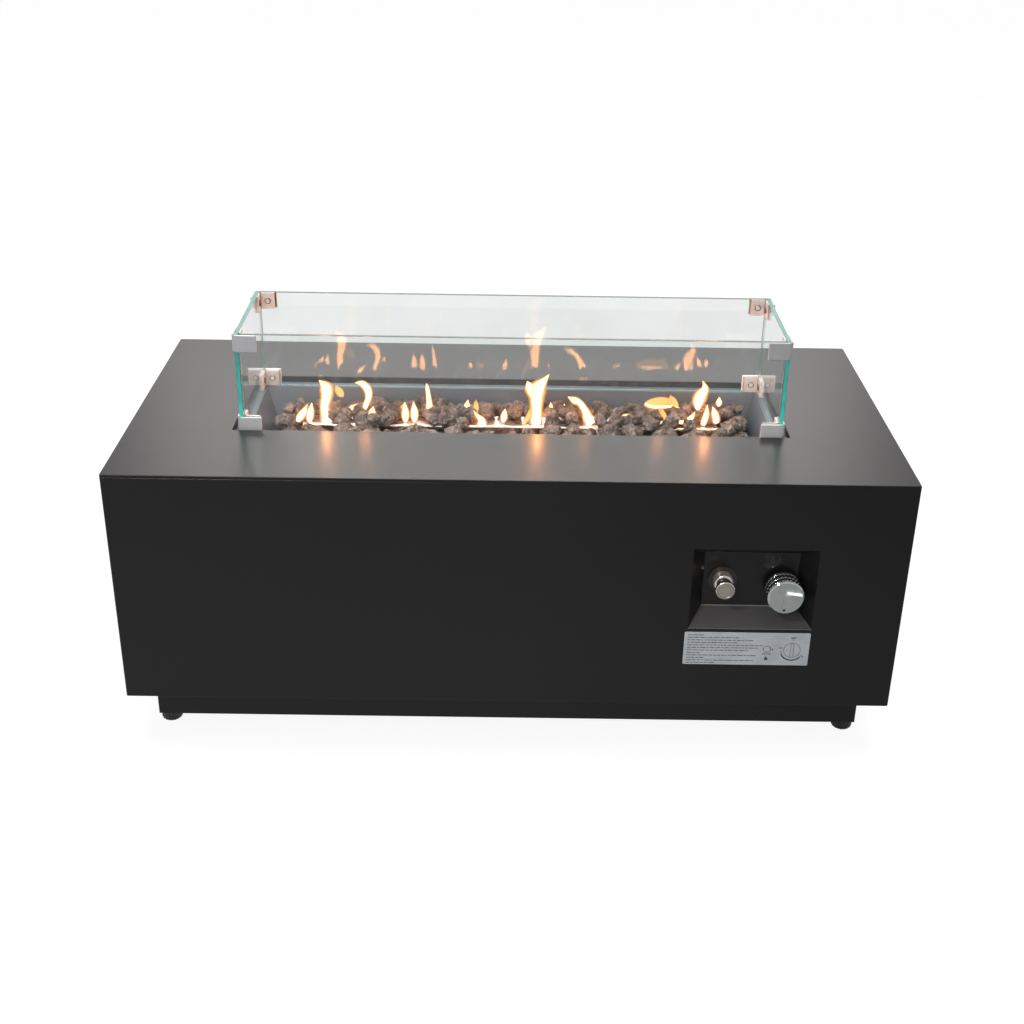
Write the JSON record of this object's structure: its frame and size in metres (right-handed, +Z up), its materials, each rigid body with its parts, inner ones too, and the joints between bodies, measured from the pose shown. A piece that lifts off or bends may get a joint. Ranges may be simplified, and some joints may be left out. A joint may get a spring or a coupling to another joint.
{
  "type": "fire pit table",
  "caption": "Low rectangular gas fire table of charcoal sheet steel with lava rocks round a linear burner, a lift-off glass wind guard and a recessed front control panel on levelling feet.",
  "frame": {"origin": "on the floor under the middle of the table", "axes": "+Z up, the control panel faces -Y, +X to the right seen from the front"},
  "size_m": [1.07, 0.53, 0.5558],
  "materials": {
    "panel_paint": "satin charcoal powder coat with a fine texture",
    "frame_paint": "plain black powder coat",
    "bowl_paint": "heat-resistant dark grey coat",
    "galvanised": "dull zinc plate",
    "stainless": "brushed, heat-tinted",
    "brass": "turned brass",
    "zinc_casting": "as cast",
    "tube_aluminium": "drawn tube",
    "copper": "bare copper capillary",
    "satin_aluminium": "satin",
    "screw_steel": "bright zinc",
    "chrome": "polished",
    "black_plastic": "moulded black",
    "foot_plastic": "moulded black",
    "plate_silver": "satin printed plate",
    "glass": "clear toughened, green edges",
    "lava_rock": "porous",
    "ceramic": "glazed white",
    "spring_steel": "bright wire",
    "battery_wrap": "plain sleeve",
    "lead_silicone": "red silicone sleeve"
  },
  "bodies": {
    "table": {"top_panel": "panel_paint", "front_panel": "panel_paint", "back_panel": "panel_paint", "left_side_panel": "panel_paint", "right_side_panel": "panel_paint", "plinth_front": "panel_paint", "plinth_back": "panel_paint", "plinth_left": "panel_paint", "plinth_right": "panel_paint", "control_niche": "panel_paint", "top_strips": "frame_paint", "corner_posts": "frame_paint", "front_rail": "frame_paint", "back_rail": "frame_paint", "fire_bowl": "bowl_paint", "foot_nuts": "galvanised", "sensor_bracket": "galvanised", "inlet_nut": "galvanised", "valve_nut": "galvanised", "burner": "stainless", "burner_supports": "stainless", "thermocouple": "stainless", "orifice": "brass", "tube_nuts": "brass", "gas_inlet": "brass", "valve_body": "zinc_casting", "air_mixer": "zinc_casting", "gas_tube": "tube_aluminium", "inlet_tube": "tube_aluminium", "thermocouple_lead": "copper", "igniter_collar": "chrome", "valve_bezel": "black_plastic", "igniter_body": "black_plastic", "igniter_washer": "black_plastic", "igniter_nut": "black_plastic", "instruction_plate": "plate_silver", "lava_rocks_front": "lava_rock", "lava_rocks_back": "lava_rock", "spark_electrode": "ceramic", "knob_spring": "spring_steel", "igniter_spring": "spring_steel", "igniter_battery": "battery_wrap", "spark_lead": "lead_silicone"},
    "guard": {"glass_front": "glass", "glass_back": "glass", "glass_left": "glass", "glass_right": "glass", "guard_brackets_bottom": "satin_aluminium", "guard_brackets_top": "satin_aluminium", "guard_clamps": "satin_aluminium", "guard_screws": "screw_steel"},
    "knob_carriage": {"spring_washer": "screw_steel"},
    "knob": {"knob": "chrome", "valve_spindle": "screw_steel"},
    "igniter_button": {"igniter_button": "chrome", "igniter_plunger": "black_plastic"},
    "foot_front_left": {"foot_front_left": "foot_plastic"},
    "foot_front_right": {"foot_front_right": "foot_plastic"},
    "foot_back_left": {"foot_back_left": "foot_plastic"},
    "foot_back_right": {"foot_back_right": "foot_plastic"}
  },
  "joints": [
    {"name": "guard_lift", "type": "slide", "parent": "table", "child": "guard", "axis": [0, 0, 1], "range_m": [0, 0.2]},
    {"name": "knob_push", "type": "slide", "parent": "table", "child": "knob_carriage", "axis": [0, 1, 0], "range_m": [0, 0.003], "stiffness_N_per_m": 600, "springref_m": -0.004, "deforming": ["knob_spring"]},
    {"name": "knob_turn", "type": "hinge", "parent": "knob_carriage", "child": "knob", "pos_m": [0.3729, -0.25, 0.2541], "axis": [0, 1, 0], "range_deg": [-60, 180]},
    {"name": "igniter_push", "type": "slide", "parent": "table", "child": "igniter_button", "axis": [0, 1, 0], "range_m": [0, 0.004], "stiffness_N_per_m": 500, "springref_m": -0.004, "deforming": ["igniter_spring"]},
    {"name": "foot_front_left_level", "type": "slide", "parent": "table", "child": "foot_front_left", "axis": [0, 0, 1], "range_m": [-0.012, 0]},
    {"name": "foot_front_right_level", "type": "slide", "parent": "table", "child": "foot_front_right", "axis": [0, 0, 1], "range_m": [-0.012, 0]},
    {"name": "foot_back_left_level", "type": "slide", "parent": "table", "child": "foot_back_left", "axis": [0, 0, 1], "range_m": [-0.012, 0]},
    {"name": "foot_back_right_level", "type": "slide", "parent": "table", "child": "foot_back_right", "axis": [0, 0, 1], "range_m": [-0.012, 0]}
  ]
}
